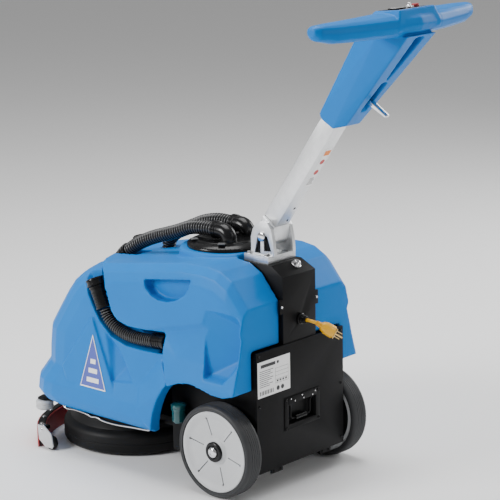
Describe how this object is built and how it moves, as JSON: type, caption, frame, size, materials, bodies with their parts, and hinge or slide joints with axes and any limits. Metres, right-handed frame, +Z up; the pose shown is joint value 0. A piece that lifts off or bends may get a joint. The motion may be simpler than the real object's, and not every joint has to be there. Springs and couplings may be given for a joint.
{
  "type": "walk-behind floor scrubber dryer",
  "caption": "Compact walk-behind floor scrubber with a disc brush, bow squeegee, water tanks, rear wheels, battery box and a tilting steering handle.",
  "frame": {"origin": "floor point under the middle of the bounding box", "axes": "+Y forward to the brush end, +X to the machine's right, +Z up"},
  "size_m": [0.5, 1.041, 1.0465],
  "materials": {
    "blue_plastic": "satin moulded blue",
    "black_steel": "satin black powder coat",
    "black_plastic": "black moulded",
    "black_rubber": "black flexible",
    "tyre_rubber": "charcoal tread",
    "grey_plastic": "light grey moulded",
    "aluminium": "brushed",
    "bright_steel": "plated",
    "yellow_vinyl": "soft yellow",
    "red_rubber": "dark red",
    "teal_plastic": "smoky teal",
    "label_vinyl": "printed white label",
    "emblem_vinyl": "printed violet-blue label",
    "brass": "bright",
    "bristle_nylon": "bristle",
    "battery_case": "dark grey case"
  },
  "bodies": {
    "chassis": {"battery_box": "black_steel", "battery_left": "battery_case", "battery_right": "battery_case", "deck_frame": "black_steel", "column_housing": "black_steel", "column_bolt": "bright_steel", "cord_gland": "black_plastic", "charging_cord": "yellow_vinyl", "plug_body": "yellow_vinyl", "plug_prongs": "brass", "axle_left": "bright_steel", "axle_right": "bright_steel", "brush_skirt": "black_rubber", "brush_motor": "black_steel", "guard_rod": "bright_steel", "filter_bowl": "teal_plastic", "recovery_tank": "blue_plastic", "solution_tank": "blue_plastic", "drain_cuff": "black_plastic", "drain_hose": "black_rubber", "drain_end_cuff": "black_plastic", "emblem_left": "emblem_vinyl", "emblem_right": "emblem_vinyl", "tilt_base": "aluminium", "pivot_pin": "bright_steel"},
    "left_wheel": {"tyre_left": "tyre_rubber", "wheel_rim_left": "grey_plastic"},
    "right_wheel": {"tyre_right": "tyre_rubber", "wheel_rim_right": "grey_plastic"},
    "brush": {"pad_driver": "grey_plastic", "brush_bristles": "bristle_nylon"},
    "squeegee": {"squeegee_body": "black_steel", "squeegee_blade_front": "red_rubber", "squeegee_blade_rear": "red_rubber", "squeegee_arm": "aluminium"},
    "squeegee_roller_l": {"squeegee_roller_left": "black_rubber"},
    "squeegee_roller_r": {"squeegee_roller_right": "black_rubber"},
    "bumper_l": {"bumper_roller_left": "grey_plastic"},
    "bumper_r": {"bumper_roller_right": "grey_plastic"},
    "door": {"rear_door": "black_steel", "door_dish": "black_steel", "rating_plate": "label_vinyl"},
    "bail": {"door_bail": "bright_steel"},
    "lid": {"tank_lid": "black_plastic", "vacuum_elbow": "black_plastic", "motor_elbow": "black_plastic", "vacuum_hose": "black_rubber", "motor_hose": "black_rubber", "vacuum_cuff": "black_plastic"},
    "filler_cap": {"fill_cap": "black_plastic"},
    "drain_plug": {"drain_cap": "black_plastic"},
    "handle": {"handle_stem": "aluminium", "stem_knuckle": "aluminium", "handle_head": "blue_plastic", "console_plate": "black_plastic", "battery_gauge": "grey_plastic"},
    "lever": {"throttle_lever": "bright_steel"},
    "key": {"key_switch": "bright_steel"},
    "button": {"start_button": "red_rubber"}
  },
  "joints": [
    {"name": "left_wheel_spin", "type": "hinge", "parent": "chassis", "child": "left_wheel", "pos_m": [-0.1745, -0.1215, 0.1015], "axis": [1, 0, 0], "continuous": true},
    {"name": "right_wheel_spin", "type": "hinge", "parent": "chassis", "child": "right_wheel", "pos_m": [0.1745, -0.1215, 0.1015], "axis": [1, 0, 0], "continuous": true},
    {"name": "brush_spin", "type": "hinge", "parent": "chassis", "child": "brush", "pos_m": [0, 0.3055, 0], "axis": [0, 0, 1], "continuous": true},
    {"name": "squeegee_lift", "type": "slide", "parent": "chassis", "child": "squeegee", "axis": [0, 0, 1], "range_m": [0, 0.012]},
    {"name": "squeegee_roller_spin_left", "type": "hinge", "parent": "squeegee", "child": "squeegee_roller_l", "pos_m": [-0.2, 0.377, 0.0163], "axis": [1, 0, 0], "continuous": true},
    {"name": "squeegee_roller_spin_right", "type": "hinge", "parent": "squeegee", "child": "squeegee_roller_r", "pos_m": [0.2, 0.377, 0.0163], "axis": [1, 0, 0], "continuous": true},
    {"name": "bumper_roller_spin_left", "type": "hinge", "parent": "chassis", "child": "bumper_l", "pos_m": [-0.16, 0.4405, 0.085], "axis": [0, 0, 1], "continuous": true},
    {"name": "bumper_roller_spin_right", "type": "hinge", "parent": "chassis", "child": "bumper_r", "pos_m": [0.16, 0.4405, 0.085], "axis": [0, 0, 1], "continuous": true},
    {"name": "door_swing", "type": "hinge", "parent": "chassis", "child": "door", "pos_m": [0, -0.1985, 0.052], "axis": [1, 0, 0], "range_deg": [0, 80]},
    {"name": "bail_swing", "type": "hinge", "parent": "door", "child": "bail", "pos_m": [0.0025, -0.1927, 0.18], "axis": [1, 0, 0], "range_deg": [-90, 0]},
    {"name": "lid_lift", "type": "slide", "parent": "chassis", "child": "lid", "axis": [0, 0, 1], "range_m": [0, 0.045]},
    {"name": "fill_cap_lift", "type": "slide", "parent": "chassis", "child": "filler_cap", "axis": [0, 0, 1], "range_m": [0, 0.06]},
    {"name": "drain_cap_pull", "type": "slide", "parent": "chassis", "child": "drain_plug", "axis": [0, 0.4319, 0.9019], "range_m": [0, 0.02]},
    {"name": "handle_tilt", "type": "hinge", "parent": "chassis", "child": "handle", "pos_m": [0, -0.1245, 0.537], "axis": [1, 0, 0], "range_deg": [-30, 20]},
    {"name": "throttle_squeeze", "type": "hinge", "parent": "handle", "child": "lever", "pos_m": [0, -0.3775, 0.852], "axis": [1, 0, 0], "range_deg": [0, 12], "stiffness_Nm_per_rad": 0.6},
    {"name": "key_turn", "type": "hinge", "parent": "handle", "child": "key", "pos_m": [0.016, -0.4735, 1.03685], "axis": [0, 0.0918, 0.9958], "range_deg": [-45, 45]},
    {"name": "start_button_press", "type": "slide", "parent": "handle", "child": "button", "axis": [0, -0.0918, -0.9958], "range_m": [0, 0.0018], "stiffness_N_per_m": 400}
  ]
}
